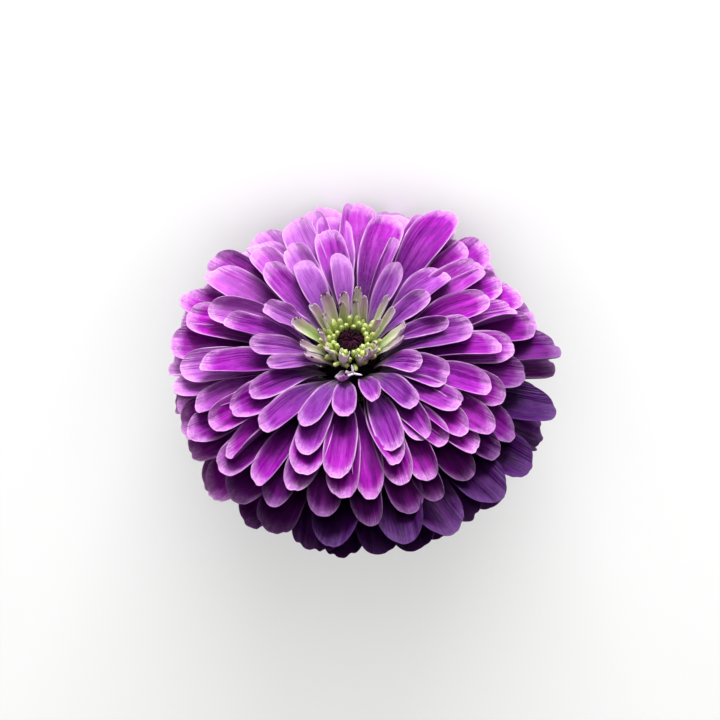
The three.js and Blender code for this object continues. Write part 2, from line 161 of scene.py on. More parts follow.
# The stigma: where its stalk stands, how long it is and how far it leans, and each arm's splay and lean.
STIGMA_AZIMUTH = 274
STIGMA_FOOT = (7.0, 32.6)
STIGMA_LENGTH = 4.8
STIGMA_LEAN = 38
STIGMA_ARMS = ((65, 70), (10, -40), (-60, 55))
STIGMA_ARM = [(0, -0.2, 0), (0.3, -0.1, 0.3), (0.3, 1.0, 0.6), (0.22, 2.1, 0.8), (0, 2.6, 1)]
STIGMA_STALK = [(0, 0, 0), (0.24, 0, 0), (0.24, STIGMA_LENGTH, 0.2), (0, STIGMA_LENGTH + 0.1, 0.3)]
STIGMA_SIDES = 9
STIGMA_END = 9  # too far from a blade's end for dark spots

# Disc florets: a knob's outline above its foot, as shares of its radius and length.
KNOB_COUNT = 17
KNOB_RADIUS = 0.65
KNOB_FOOT = 0.4
KNOB_OUTLINE = [
    (0.85, 0.3, 0.3), (1, 0.5, 0.5), (1.02, 0.8, 0.72), (0.85, 0.92, 0.88), (0.52, 0.98, 0.97),
    (0.25, 1, 1), (0, 0.97, 0.8),
]
KNOB_LOBES = 5
LOBE_DEPTH = 0.04
KNOB_SIDES = 20
# Rows of florets: how much farther out and lower than the ring, share of its length, more lean, and turn.
KNOB_ROWS = ((-0.3, 0, 0.92, -9, 0), (0.0, 0, 1.08, 8, 0.5), (0.4, 1.3, 1.12, 27, 0.15))
# How knobs differ, drawn in this order: shares of the radius and length, and turn in radians.
KNOB_RANGES = {
    "radius": (0.85, 1.2), "length": (0.88, 1.12), "turn": (0, 2 * math.pi), "azimuth": (-5, 5),
    "lean": (-7, 7),
}
KNOB_HEIGHT = 33.9
KNOB_TIP = (5.5, 38.5)

# Scales: their outline above a sunk foot, as shares of the radius and length.
SCALE_FOOT = -0.3
SCALE_FOOT_RADIUS = 0.8
SCALE_OUTLINE = [(1, 0.35, 0.35), (0.7, 0.7, 0.7), (0.25, 0.94, 0.95), (0, 1, 1)]
SCALE_SIDES = 8
EYE_DOME = [
    (0, 35.35, 0), (2.6, 35.35, 0), (3.3, 35.9, 0), (2.9, 36.2, 0), (1.8, 36.0, 0), (0.8, 35.7, 0),
    (0, 35.6, 0),
]
EYE_SIDES = 28
# Rings of the eye's scales: how many, their radius and foot height, length and lean.
EYE_RINGS = (
    (28, 3.6, 36.2, 2.3, -42), (22, 2.8, 36.2, 2.1, -48), (16, 1.9, 35.9, 1.7, -42),
    (10, 1.1, 35.6, 1.2, -25), (4, 0.4, 35.5, 1.0, -10),
)
# How scales differ. In the eye, length is a share of the ring's, and turn of the way to the next scale.
EYE_RANGES = {"length": (0.8, 1.2), "radius": (0.2, 0.3), "turn": (-0.25, 0.25), "lean": (-10, 10)}
CHAFF_COUNT = 130
CHAFF_HEIGHTS = (23.5, 34.0)
CHAFF_LEANS = (48, 12)
CHAFF_RANGES = {"length": (2.2, 4.2), "radius": (0.3, 0.45), "lean": (-8, 8)}
CHAFF_SUNK = 0.3
CHAFF_END = 0.8  # where on the eye's ramp of colours chaff ends

RECEPTACLE_HEIGHTS = [0.35, 2.6, 6, 10, 14, 18, 22, 26, 30, 33, 35]
RECEPTACLE_RADII = [3.6, 6.6, 8.7, 9.5, 9.2, 8.6, 7.8, 6.7, 5.3, 4.1, 3.1]
RECEPTACLE_RINGS = 40
RECEPTACLE_SIDES = 48
PIT_DEPTH = 0.012
PITS_ROUND = 13
PITS_TURN = 2.4  # from ring to ring

STEM_LENGTH = 45
STEM_DEPTHS = [0, 3, 9, 24, STEM_LENGTH]
STEM_RADII = [3.5, 3.0, 2.5, 2.35, 2.5]
STEM_TOP_DEPTH = -0.5
STEM_RINGS = 70
STEM_SIDES = 66
STEM_RIBS = 11
RIB_DEPTH = 0.03
CUT_FACE = 1.02  # the share of the length that marks the cut face
# The hollow at the cut end, as radius and height above the cut, and how far the cut's edge is rounded.
STEM_HOLLOW = [(0, 1.6), (0.7, 1.5), (0.95, 0.5), (1.3, 0.15)]
CUT_ROUNDING = (0.3, 0.05)
REST_LEAN = math.radians(52)
LEAN_SIN, LEAN_COS = math.sin(REST_LEAN), math.cos(REST_LEAN)

# The first seed of each kind of piece, and how far apart its whorls' seeds are.
SEEDS = {
    "petals": (0, 1000), "young_rays": (50_000, 100), "bracts": (60_000, 100),
    "disc_florets": (7, 0), "eye": (8, 0), "chaff": (9, 0),
}

# --- blades: petals, young rays, bracts
ALONG_STEPS = 32
ACROSS_STEPS = 32
EDGE_CROWDING = 0.6  # how much closer the lines across a blade are towards its edges
BEND_SHARE = 0.36  # how much of its length a blade takes to bend away at each end
CURVE_LENGTH = 1.06  # a blade's length over the straight way from its foot to its tip

# What all blades, petals, young rays and bracts start from. Claw is the foot's share of the width, channel
# and curl are how far foot and blade bend round across, foot is how much thicker the foot is, and rim is
# the edge's share of the thickness.
BLADE = dict.fromkeys(
    ("groove", "furrow", "notch", "bend", "twist", "cup", "lip", "lean", "dent", "roll", "sweep"), 0,
) | {"rim": 0.35, "tip_power": 2.6, "tip_root": 0.5, "waves": 2.5, "rounds": 0.83}
PETAL = BLADE | {"claw": 0.16, "channel": 1.0, "thick": 0.32, "foot": 0.4}
YOUNG = BLADE | {
    "claw": 0.55, "channel": 1.3, "thick": 0.3, "foot": 0.3, "groove": 0.05, "wave": 0.12, "notch": 0.5,
    "cup": 0.4, "lip": 0.2, "rise": 64, "fall": 58,
}
BRACT = BLADE | {
    "claw": 0.62, "channel": 0.4, "curl": 0.4, "thick": 0.5, "foot": 0.3, "wave": 0.1, "width": 7.4,
    "rise": 12, "fall": 75,
}
# The shares of a blade's length between which each feature of its shape comes in.
COMES_IN = {
    "width": (0.04, 0.72), "curl": (0.08, 0.5), "groove": (0.2, 0.5), "furrow": (0.15, 0.5),
    "furrow_end": (0.85, 1), "wave": (0.25, 0.6), "bend": (0.6, 1.15), "dent": (0.35, 0.7),
    "lip": (0.3, 0.7), "twist": (0.25, 1), "thin": (0, 0.22),
}
CUPS_FROM = 0.74
LEAST_CURL = 1e-4  # an arc's radius is worked out from its curl, so that is never 0

# Features across a blade: places and widths are shares of half its width.
NOTCHES_AT = (-0.5, 0.0, 0.45)
NOTCH_WIDTH = 0.13
NOTCH_WANDER = 0.15
DEEPEST_NOTCH = 1.3
TIP_RIPPLE = 0.3
RIPPLE_TURNS = (3, 6)
RIPPLE_STARTS = (0, 6)
GROOVES_AT = 0.36
GROOVE_WIDTH = 0.13
FURROW_WIDTH = 0.14
FURROW_WANDER = 0.12
DENT_TURNS = (7, 3)  # along and across
LIP_WIDTH = 0.8  # millimetres
RIM_WIDTH = 0.9  # millimetres
# A blade that meets the surface stays this share of its thickness above it, and bends up this softly.
SURFACE_CLEARANCE = 0.6
SURFACE_SOFTNESS = 0.3

# How petals differ: the range that each feature is drawn from, in this order.
PETAL_RANGES = {
    "curl": (0.35, 1), "groove": (0.04, 0.12), "furrow": (0.1, 0.7), "wave": (0.1, 0.45),
    "waves": (1, 2.6), "notch": (0, 0.35), "bend": (-1.8, 0.8), "cup": (0.4, 2.4),
    "lip": (0.25, 0.65), "twist": (-20, 20), "tip_power": (1.8, 2.25), "tip_root": (0.45, 0.53),
    "rounds": (0.77, 0.85), "lean": (-1.6, 1.6), "dent": (-0.5, 0.5),
}
YOUNG_SHARES = {"bend": 0.5, "cup": 0.6, "lean": 0.6}  # how much of the draw the youngest petals have
OLD_NOTCHES = 3  # how much deeper the lowest petals' notches are
NOTCHED_WHORLS = 4
YOUNG_RANGES = {
    "curl": (0.9, 1.7), "twist": (-25, 25), "bend": (-0.6, 0.8), "tip_power": (1.5, 2.2),
    "lean": (-1.2, 1.2),
}
BRACT_ROLL = (-3, 3)
# The folded, curled, edge-on and whitish petals, by whorl and number: how each differs.
SPECIAL_PETALS = {
    (5, 4): {"curl": 1.6, "notch": 0.3},
    (5, 18): {"curl": 1.3, "twist": 30},
    (6, 2): {"curl": 1.3, "twist": -24},
    (6, 5): {"pale_tone_and_sheen": 0.9},
    (6, 8): {"bend": -2.4, "cup": 0},
    (6, 14): {"curl": 1.5, "twist": 28},
    (6, 20): {"twist": 34, "curl": 1},
    (7, 4): {
        "width": 12.4, "pale_tone_and_sheen": 0.15, "tip_power": 2, "tip_root": 0.5, "rounds": 0.66, "furrow": 0.9,
        "bend": -2, "twist": 0, "lean": 0, "dent": 0, "notch": 0, "curl": 0.9, "cup": 1.2,
    },
    (7, 8): {"twist": -28, "lean": 2},
    (8, 2): {"bend": -2.8},
    (8, 3): {"curl": 1.9, "notch": 0.2},
    (8, 7): {"curl": 1.1, "bend": 1.2},
    (8, 12): {"twist": 26, "lean": -1.5},
    (9, 1): {"curl": 0.9, "twist": 52},
    (9, 6): {"curl": 0.9, "wave": 0.8, "waves": 3.4},
    (9, 8): {"curl": 0.8, "pale_tone_and_sheen": 1},
}

# What the finishes vary with: each blade has a tone, young rays a blush, and petals also youth, how pale
# they are, a random pale tone plus painted sheen on one side, and how much painted shade darkens the low
# side's oldest petals.
TONES = (-1, 1)
BLUSHES = (0, 0.6)
# Painted sheen: petals are paler towards this azimuth, the side towards the key light, on top of a random
# pale tone.
SHEEN_AZIMUTH = 120
SHEEN_SHARE = 0.62
PALE_TONE_STRAY = (-0.4, 0.38)
# Painted shade: it darkens the lowest whorls on the low side and fades out between these whorls.
SHADED_WHORLS = (2.8, 5.6)
PAINTED_SHADE_STRAY = (-0.12, 0.15)

# --- colours: linear red, green and blue
# A ramp is colours from the foot of a piece, 0, to its end, 1. A layer's colour is laid over what is
# below it, or multiplies it where the layer's name ends in tint, and its strength is its fades' product.
# A fade says what it follows, between which values, and its strengths there if not 0 and 1. It follows
# along, the share of the length, rim or end, the millimetres to the edge or end, a number above or a
# pattern. With nothing more, it is as strong as that.
# Darker towards the foot: partly the petal's own colour and partly painted shade where the petals above lie
# over it.
PETAL_RAMP = (
    (0, (0.05, 0.001, 0.09)), (0.42, (0.11, 0.0005, 0.15)), (0.64, (0.29, 0.0005, 0.32)),
    (0.84, (0.48, 0.0008, 0.5)), (1, (0.53, 0.004, 0.56)),
)
LILAC_RAMP = (
    (0, (0.42, 0.48, 0.22)), (0.2, (0.46, 0.36, 0.4)), (0.42, (0.31, 0.08, 0.42)),
    (0.8, (0.33, 0.03, 0.42)), (1, (0.44, 0.1, 0.54)),
)
PETAL_UPPER = {
    "violet tint": ((0.7, 0.8, 0.95), ("tone", -0.6, 1, 0, 0.4)),
    "veins": ((0.11, 0.001, 0.17), ("lines", 0.32, 0.54, 0.6, 0)),
    "fine veins": ((0.12, 0.001, 0.18), ("fine", 0.32, 0.5, 0.4, 0)),
    # Painted sheen: pale streaks along the veins stand in for gloss on the ridges, strongest on the palest
    # petals.
    "streaks": (
        (0.6, 0.2, 0.72), ("along", 0.45, 0.9), ("lines", 0.48, 0.68), ("pale_tone_and_sheen", 0, 1, 0.12, 0.8),
    ),
    # Partly a pale tone and partly painted sheen, as strong as how pale the petal is.
    "pale half": ((0.66, 0.25, 0.75), ("along", 0.3, 0.95, 0, 0.6), ("pale_tone_and_sheen", 0.4, 1)),
    # Painted sheen: pale speckles stand in for glints, strongest on the palest petals.
    "painted sheen speckle": ((0.58, 0.16, 0.7), ("speckle",), ("pale_tone_and_sheen", 0, 1, 0.05, 0.18)),
    # Partly the end's own pale colour and partly a painted highlight where the raised end catches the
    # light.
    "pale end and painted highlight": (
        (0.88, 0.44, 0.9), ("end", 0.2, 3.8, 1, 0), ("speckle", 0, 1, 0.55, 1), ("pale_tone_and_sheen", 0, 1, 0.85, 1),
    ),
    # Partly a pale margin and partly a painted highlight on the raised rim of the bowl.
    "pale margin and painted highlight": ((0.74, 0.28, 0.8), ("rim", 0.2, 1.3, 0.25, 0), ("along", 0.35, 0.8)),
}
UNDER_GROUND = (0.26, 0.13, 0.27)
PETAL_UNDER = {
    "fine veins": ((0.34, 0.09, 0.42), ("fine", 0.35, 0.6)),
    "green foot": ((0.24, 0.28, 0.13), ("along", 0.1, 0.7, 0.75, 0)),
}
PETAL_BOTH = {
    # Partly a pale edge and partly a painted highlight where the rim catches the light.
    "pale edge": (
        (0.86, 0.48, 0.88), ("rim", 0.1, 0.5, 1, 0), ("along", 0.1, 0.7, 0.3, 1),
        ("breaks", 0.35, 0.6, 0.35, 1),
    ),
    # Painted shade: multiplies the oldest petals on the low side darker, where the petals above shade them.
    "painted shade tint": ((0.14, 0.09, 0.22), ("deep",)),
}
SPECKLE = (0.4, 0.66)
YOUNG_INSIDE = (
    (0, (0.4, 0.68, 0.1)), (0.45, (0.62, 0.9, 0.28)), (0.72, (0.84, 0.88, 0.56)),
    (1, (0.88, 0.62, 0.86)),
)
YOUNG_OUTSIDE = ((0, (0.62, 0.8, 0.24)), (0.5, (0.92, 0.98, 0.7)), (1, (0.95, 0.92, 0.92)))
YOUNG_BLUSH = ((0, (0.5, 0.58, 0.26)), (0.35, (0.66, 0.44, 0.62)), (1, (0.58, 0.2, 0.68)))
YOUNG_LAYERS = {
    "veins": ((0.36, 0.4, 0.18), ("lines", 0.3, 0.5, 0.4, 0)),
    "pale edge": ((0.96, 0.86, 0.93), ("rim", 0.06, 0.4, 0.8, 0)),
    "dark spots": ((0.07, 0.015, 0.04), ("end", 0.4, 1.1, 1, 0), ("lines", 0.53, 0.57), ("tone", -0.5, 0)),
}
# Each finish: shader values of its own, its patterns, and which of them stands up from it and how high, in
# metres. Veins are how many across and how broken along, blotches are scale, detail and roughness. Plain
# finishes also have a ground, which is a colour or a ramp, and layers.
LOOKS = {
    "petal": {
        "shader": {"Roughness": 0.46, "Specular IOR Level": 0.16, "Subsurface Radius": (1, 0.15, 1)},
        "veins": {"lines": (3, 4.5), "fine": (12, 3)},
        "blotches": {"spots": (900, 4, 0.65), "breaks": (160, 2, 0.5)},
        "bump": ("fine", 0.0005),
    },
    "young_ray": {
        "shader": {"Roughness": 0.5, "Subsurface Weight": 0.25, "Subsurface Radius": (1, 0.9, 0.6)},
        "veins": {"lines": (5, 1.6)}, "bump": ("lines", 0.0003),
    },
    "bract": {
        "shader": {"Roughness": 0.5}, "veins": {"lines": (8, 1.6)}, "bump": ("lines", 0.0003),
        "ground": (0.075, 0.16, 0.03),
        "layers": {
            "veins": ((0.14, 0.27, 0.06), ("lines", 0.3, 0.65)),
            "pale foot": ((0.24, 0.34, 0.12), ("along", 0, 0.7, 0.5, 0)),
            "dark edge": ((0.03, 0.014, 0.012), ("rim", 0.35, 0.8, 0.92, 0)),
        },
    },
    "receptacle": {
        "shader": {}, "blotches": {"spots": (600, 4, 0.6)}, "bump": ("spots", 0.0002),
        "ground": (0.16, 0.24, 0.06),
        "layers": {
            "pale spots": ((0.34, 0.44, 0.17), ("spots", 0.35, 0.65)),
            "dark crown": ((0.014, 0.008, 0.012), ("along", 0.55, 0.72)),
        },
    },
    "stem": {
        "shader": {"Roughness": 0.45}, "blotches": {"spots": (260, 4, 0.6)}, "bump": ("spots", 0.0002),
        "ground": (0.085, 0.18, 0.035),
        "layers": {
            "pale spots": ((0.18, 0.33, 0.08), ("spots", 0.35, 0.65)),
            "pale ribs": ((0.26, 0.4, 0.14), ("rib", 0, 1, 0, 0.5)),
            "pithy cut": ((0.44, 0.52, 0.26), ("along", 1.001, 1.01)),
        },
    },
    "disc_floret": {
        "shader": {"Roughness": 0.4, "Specular IOR Level": 0.3, "Subsurface Weight": 0.2},
        "blotches": {"spots": (900, 3, 0.5)}, "bump": ("spots", 0.0002),
        "ramp": (
            (0, (0.1, 0.14, 0.03)), (0.35, (0.36, 0.5, 0.1)), (0.72, (0.58, 0.7, 0.2)),
            (1, (0.66, 0.74, 0.3)),
        ),
        "layers": {
            "dull spots": ((0.3, 0.36, 0.08), ("spots", 0.42, 0.62, 0.35, 0)),
            "dark spots": ((0.1, 0.03, 0.03), ("spots", 0.68, 0.74)),
        },
    },
    "eye": {
        "shader": {"Specular IOR Level": 0.25, "Subsurface Weight": 0},
        "blotches": {"spots": (1400, 3, 0.5)},
        "ramp": (
            (0, (0.004, 0.001, 0.003)), (0.45, (0.012, 0.001, 0.008)), (0.8, (0.07, 0.004, 0.035)),
            (1, (0.16, 0.014, 0.08)),
        ),
        "layers": {"dark spots": ((0.006, 0.001, 0.004), ("spots", 0.4, 0.6, 0.6, 0))},
    },
    "floor": {
        "shader": {"Roughness": 0.8, "Subsurface Weight": 0},
        "blotches": {"spots": (3, 3, 0.5)}, "ground": (0.74, 0.74, 0.73),
        "layers": {"mottle": ((0.78, 0.78, 0.77), ("spots",))},
    },
}
SHADER = {"Roughness": 0.6, "Subsurface Weight": 0.1, "Subsurface Scale": 1 * MM}  # unless a finish differs
VEIN_SHIFT = 37  # how far a blade's veins move with its tone
VEIN_NOISE = (1, 3, 0.6)

# --- camera, lights and floor, in metres
CAMERA_LEAN = math.radians(20)  # from straight above, towards the bloom's face
CAMERA_DISTANCE = 0.7
PIXELS_PER_METRE = 3840  # at the eye, in a picture 720 pixels wide
PICTURE_WIDTH = 720
EYE_PIXEL = (351, 340)
EYE_HEIGHT = 37  # millimetres above the top of the stem
SENSOR = 36
CLIP_START = 0.01
BLOOM = (0, 0, 0.04)
# Lights: place, target, width and height, power in watts and colour.
LIGHTS = {
    "key": ((-0.05, -0.93, 0.25), BLOOM, (0.6, 0.35), 12.5, (0.98, 0.97, 1)),
    "front": ((0, -0.6, 0.6), BLOOM, (0.5, 0.5), 1.4, (0.97, 0.98, 1)),
    "back": ((-0.5, 0.9, 0.06), BLOOM, (0.6, 0.3), 3.4, (0.96, 0.98, 1)),
    "floor_light": ((0, 0, 1.6), (0, 0, 0), (4, 4), 70, (1, 1, 1)),
}
WORLD_COLOUR = (0.95, 0.97, 1.0)
WORLD_LIGHT = 0.04
BACKDROP_LIGHT = 0.8
FLOOR_HALF = 2.4


# --- the bloom's frame and the scene's
def lean_origin():
    """Where the top of the stem is in the scene, in metres, worked out from the stem's box."""
    low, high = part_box("stem")
    length, radius = STEM_LENGTH * MM, STEM_RADII[-1] * MM
    return np.array([
        (low.x + high.x) / 2,
        high.y - length * LEAN_SIN - radius * LEAN_COS,
        length * LEAN_COS + radius * LEAN_SIN,
    ])


STEM_TOP = lean_origin()


def lay_down(points):
    """Points of the bloom's frame in the scene, in metres."""
    x, y, z = np.moveaxis(np.asarray(points, float), -1, 0)
    turned = [-x, -y * LEAN_COS - z * LEAN_SIN, -y * LEAN_SIN + z * LEAN_COS]
    return np.stack(turned, axis=-1) * MM + STEM_TOP


def surface_height(y):
    """The surface that the bloom rests on, in the bloom's frame."""
    return (y - STEM_RADII[-1]) * math.tan(REST_LEAN) - STEM_LENGTH


def smoothstep(low, high, x):
    x = np.clip((x - low) / (high - low), 0, 1)
    return x * x * (3 - 2 * x)


def lerp(a, b, share):
    return a + (b - a) * share


def hump(x, middle, width):
    """A smooth hump, 1 high at its middle."""
    return np.exp(-(((x - middle) / width)**2))


def swung(x, y, angle):
    """Two coordinates turned by an angle, the first one's axis towards the second one's."""
    cos, sin = np.cos(np.radians(angle)), np.sin(np.radians(angle))
    return x * cos - y * sin, x * sin + y * cos


def facing(azimuth, middle):
    """1 where an azimuth is the middle of one side of the bloom, and -1 opposite."""
    return math.cos(math.radians(azimuth - middle))


def random_numbers(kind, whorl=0, number=0):
    first, whorl_step = SEEDS[kind]
    return np.random.default_rng(first + whorl_step * whorl + number)


def drawn(ranges, rng):
    """One random number from each of several named ranges."""
    return {key: rng.uniform(*limits) for key, limits in ranges.items()}


def stray(i, key):
    """How far floret i strays: the same repeatable number as in the CAD model."""
    x = math.sin(i * HASH_STEPS[0] + (list(STRAY).index(key) + 1) * HASH_STEPS[1]) * HASH_SCALE
    return STRAY[key] * (2 * (x - math.floor(x)) - 1)


# --- where the blades are
def seat(height, wall=0.0):
    """Where a blade starts, as radius and height."""
    return np.interp(height, RECEPTACLE_HEIGHTS, RECEPTACLE_RADII) + SEAT_GAP + wall, height


def run_at(along):
    return {key: np.interp(along, PETAL_RUN[:, 0], column) for key, column in zip(RUN_COLUMNS, PETAL_RUN.T)}


def placed_petal(i, azimuth, base, tip, width, run):
    return {
        "azimuth": azimuth, "base": base, "tip": tip, "width": width, "rise": run["rise"],
        "fall": run["fall"], "roll": stray(i, "roll"), "sweep": stray(i, "sweep"),
    }


def spiral_petal(i, base):
    run = run_at(SPIRAL_SHARE * i / (SPIRAL_WHORLS * PER_WHORL - 1))
    azimuth = FIRST_AZIMUTH + i * GOLDEN_ANGLE + stray(i, "azimuth")
    reaching, hanging = (most * facing(azimuth, middle) for most, middle in (REACHING, HANGING))
    reach = run["reach"] * (1 + stray(i, "reach") + reaching)
    height = run["height"] + stray(i, "height") - hanging
    return placed_petal(i, azimuth, base, (reach, height), run["width"] * (1 + stray(i, "width")), run)


def crown_petal(i, base, lift, azimuth, reach, width, raised=0):
    rows = PETAL_RUN[PETAL_RUN[:, 0] >= CROWN_FROM][::-1]
    run = run_at(np.interp(reach, rows[:, 1], rows[:, 0]))
    height = run["height"] + lift + raised + stray(i, "height")
    return placed_petal(i, azimuth, base, (reach, height), width, run)


def whorl_shapes(whorl):
    """One whorl's petals as in the CAD model: the spiral's first, and above it the listed ones."""
    first = whorl * PER_WHORL
    wall = 0 if whorl < SEPARATE_WHORLS else RING_WALL / 2
    base = seat(WHORL_BASE + WHORL_PITCH * whorl, wall)
    if whorl < SPIRAL_WHORLS:
        return [spiral_petal(first + j, base) for j in range(PER_WHORL)]
    lift, rows = CROWN_WHORLS[whorl - SPIRAL_WHORLS]
    return [crown_petal(first + j, base, lift, *row) for j, row in enumerate(rows)]


# --- the shapes of blades
def centreline(shape, share):
    """The blade's middle as [outwards, upwards] at each share of its length, and its direction there."""
    base, tip = np.array(shape["base"]), np.array(shape["tip"])
    handle = BEND_SHARE * np.linalg.norm(tip - base)
    first = base + swung(handle, 0, shape["rise"])
    second = tip - swung(handle, 0, shape["fall"])
    s = share[..., None]
    point = (1 - s)**3 * base + 3 * s * (1 - s)**2 * first + 3 * s * s * (1 - s) * second + s**3 * tip
    way = 3 * (1 - s)**2 * (first - base) + 6 * s * (1 - s) * (second - first) + 3 * s * s * (tip - second)
    return point, way / np.linalg.norm(way, axis=-1, keepdims=True)


def tip_outline(shape, across, length, rng):
    """The share of the length at which each lengthwise line of the blade ends: a blunt, notched tip."""
    rounding = (1 - np.abs(across)**(1 / shape["tip_root"]))**(1 / shape["tip_power"])
    ends = lerp(shape["rounds"], 1, rounding)
    for middle in NOTCHES_AT:
        depth = shape["notch"] * rng.uniform(0.0, DEEPEST_NOTCH) / length
        ends -= depth * hump(across, middle + rng.uniform(-NOTCH_WANDER, NOTCH_WANDER), NOTCH_WIDTH)
    ripple = np.sin(rng.uniform(*RIPPLE_TURNS) * across + rng.uniform(*RIPPLE_STARTS))
    return ends + shape["notch"] * TIP_RIPPLE / length * ripple


def relief(shape, s, t, half, rim, rng):
    """How far the blade stands above the plain arc across it, at shares s of its length and t across."""
    comes_in = {key: smoothstep(*limits, s) for key, limits in COMES_IN.items()}
    furrow = hump(t, rng.uniform(-FURROW_WANDER, FURROW_WANDER), FURROW_WIDTH)
    phase = rng.uniform(0, 2 * math.pi, 2)
    sway = np.sin(shape["waves"] * 2 * math.pi * s + np.where(t < 0, *phase))
    up = -shape["groove"] * half * hump(np.abs(t), GROOVES_AT, GROOVE_WIDTH) * comes_in["groove"]
    up -= shape["furrow"] * furrow * comes_in["furrow"] * (1 - comes_in["furrow_end"])
    up += shape["wave"] * np.abs(t)**3 * sway * comes_in["wave"]
    up += shape["bend"] * comes_in["bend"]
    up += shape["cup"] * np.clip((s - CUPS_FROM) / (1 - CUPS_FROM), 0, 1)**2
    dents = np.sin(DENT_TURNS[0] * s + DENT_TURNS[1] * t + phase[0])
    up += shape["dent"] * dents * comes_in["dent"]
    return up + shape["lip"] * np.exp(-rim / LIP_WIDTH) * comes_in["lip"]


def blade_surface(shape, rng):
    """The blade's middle surface as a grid of points, and what its finish is worked out from."""
    even = np.linspace(-1, 1, ACROSS_STEPS + 1)
    across = lerp(even, np.sin(even * math.pi / 2), EDGE_CROWDING)
    rows = np.sin(np.linspace(0, math.pi / 2, ALONG_STEPS + 1))[:, None]
    length = np.linalg.norm(np.subtract(shape["tip"], shape["base"])) * CURVE_LENGTH
    ends = tip_outline(shape, across, length, rng)
    s = rows * ends
    t = np.broadcast_to(across, s.shape)
    half = shape["width"] / 2 * lerp(shape["claw"], 1, smoothstep(*COMES_IN["width"], s))
    rim = np.minimum((1 - np.abs(t)) * half, (ends - s) * length)
    curl = lerp(shape["channel"], shape["curl"], smoothstep(*COMES_IN["curl"], s)) + LEAST_CURL
    side = half * np.sin(curl * t) / curl
    up = half * (1 - np.cos(curl * t)) / curl + relief(shape, s, t, half, rim, rng)
    roll = shape["roll"] * s + shape["twist"] * smoothstep(*COMES_IN["twist"], s)
    side, up = swung(side, up, roll)
    side = side + (shape["sweep"] + shape["lean"]) * s * s
    point, way = centreline(shape, s)
    outwards = point[..., 0] - up * way[..., 1]
    upwards = point[..., 1] + up * way[..., 0]
    grid = np.stack([*swung(outwards, side, shape["azimuth"]), upwards], axis=-1)
    grid[..., 2] += clear_of_surface(grid, shape["thick"])[:, None]
    thick = shape["thick"] + shape["foot"] * (1 - smoothstep(*COMES_IN["thin"], s))
    thick = thick * lerp(shape["rim"], 1, smoothstep(0, RIM_WIDTH, rim))
    return grid, thick, {"along": s, "across": t, "rim": rim, "end": (ends - s) * length}


def clear_of_surface(grid, thick):
    """How far each row of the grid is raised so that it bends up along the surface below the bloom."""
    sunk = (surface_height(grid[..., 1]) + SURFACE_CLEARANCE * thick - grid[..., 2]).max(axis=1)
    return 0.5 * (sunk + np.sqrt(sunk**2 + SURFACE_SOFTNESS**2))


def closed_shell(grid, thick):
    """A thin closed shell round a grid of points: its vertices, faces and which side each vertex is on."""
    normal = np.cross(*np.gradient(grid, axis=(0, 1)))
    normal /= np.linalg.norm(normal, axis=-1, keepdims=True)
    offset = normal * (thick / 2)[..., None]
    count = thick.size
    vertices = np.concatenate([(grid + offset).reshape(-1, 3), (grid - offset).reshape(-1, 3)])
    index = np.arange(count).reshape(thick.shape)
    corners = [index[:-1, :-1], index[1:, :-1], index[1:, 1:], index[:-1, 1:]]
    quads = np.stack(corners, axis=-1).reshape(-1, 4)
    under = quads[:, ::-1] + count
    loop = np.concatenate([index[0, :-1], index[:-1, -1], index[-1, :0:-1], index[:0:-1, 0]])
    after = np.roll(loop, -1)
    walls = np.stack([loop, after, after + count, loop + count], axis=-1)
    side = np.repeat([1.0, 0.0], count)
    return vertices, np.concatenate([quads, under, walls]), side


def add_blade(name, shape, rng, constants, material, node):
    """A petal, young ray or bract, with what its finish needs stored on its vertices."""
    grid, thick, fields = blade_surface(shape, rng)
    vertices, faces, side = closed_shell(grid, thick)
    values = {key: np.tile(field.ravel(), 2) for key, field in fields.items()}
    values |= {"upper": side} | {key: np.full(len(side), value) for key, value in constants.items()}
    add_piece(name, vertices, faces, values, material, [node])


# --- turned bodies
def tube(outline, sides, radius_at=lambda angle, k: 1.0):
    """A closed body turned round Z from an outline: its vertices, faces and along.

    radius_at(angle, k) is the share of its radius that ring k has at an angle.
    """
    angles = np.linspace(0, 2 * math.pi, sides, endpoint=False)
    first, *middle, last = outline
    rings = []
    for k, (radius, height, _) in enumerate(middle):
        radii = radius * radius_at(angles, k)
        ring = [radii * np.cos(angles), radii * np.sin(angles), np.full(sides, height)]
        rings.append(np.stack(ring, axis=-1))
    vertices = np.concatenate([[[0, 0, first[1]]], *rings, [[0, 0, last[1]]]])
    along = np.concatenate([[first[2]], np.repeat([row[2] for row in middle], sides), [last[2]]])
    faces = []
    top = len(vertices) - 1
    for a in range(sides):
        b = (a + 1) % sides
        faces.append([0, 1 + b, 1 + a])
        for k in range(len(rings) - 1):
            start = 1 + k * sides
            faces.append([start + a, start + b, start + sides + b, start + sides + a])
        faces.append([top - sides + a, top - sides + b, top])
    return vertices, faces, along


def merged(parts):
    """Several (vertices, faces, along) as one."""
    faces = []
    count = 0
    for vertices, part_faces, _ in parts:
        faces += [[index + count for index in face] for face in part_faces]
        count += len(vertices)
    return np.concatenate([part[0] for part in parts]), faces, np.concatenate([part[2] for part in parts])


def stood(part, azimuth, radius, height, lean, splay=0):
    """A (vertices, faces, along) tipped sideways, leaned outwards and moved to its place."""
    vertices, faces, along = part
    x, y, z = vertices.T
    y, z = swung(y, z, splay)
    z, x = swung(z, x, lean)
    return np.stack([*swung(x + radius, y, azimuth), z + height], axis=-1), faces, along


# --- meshes and pieces
def added(name, data):
    """A new object in the scene."""
    made = bpy.data.objects.new(name, data)
    bpy.context.scene.collection.objects.link(made)
    return made


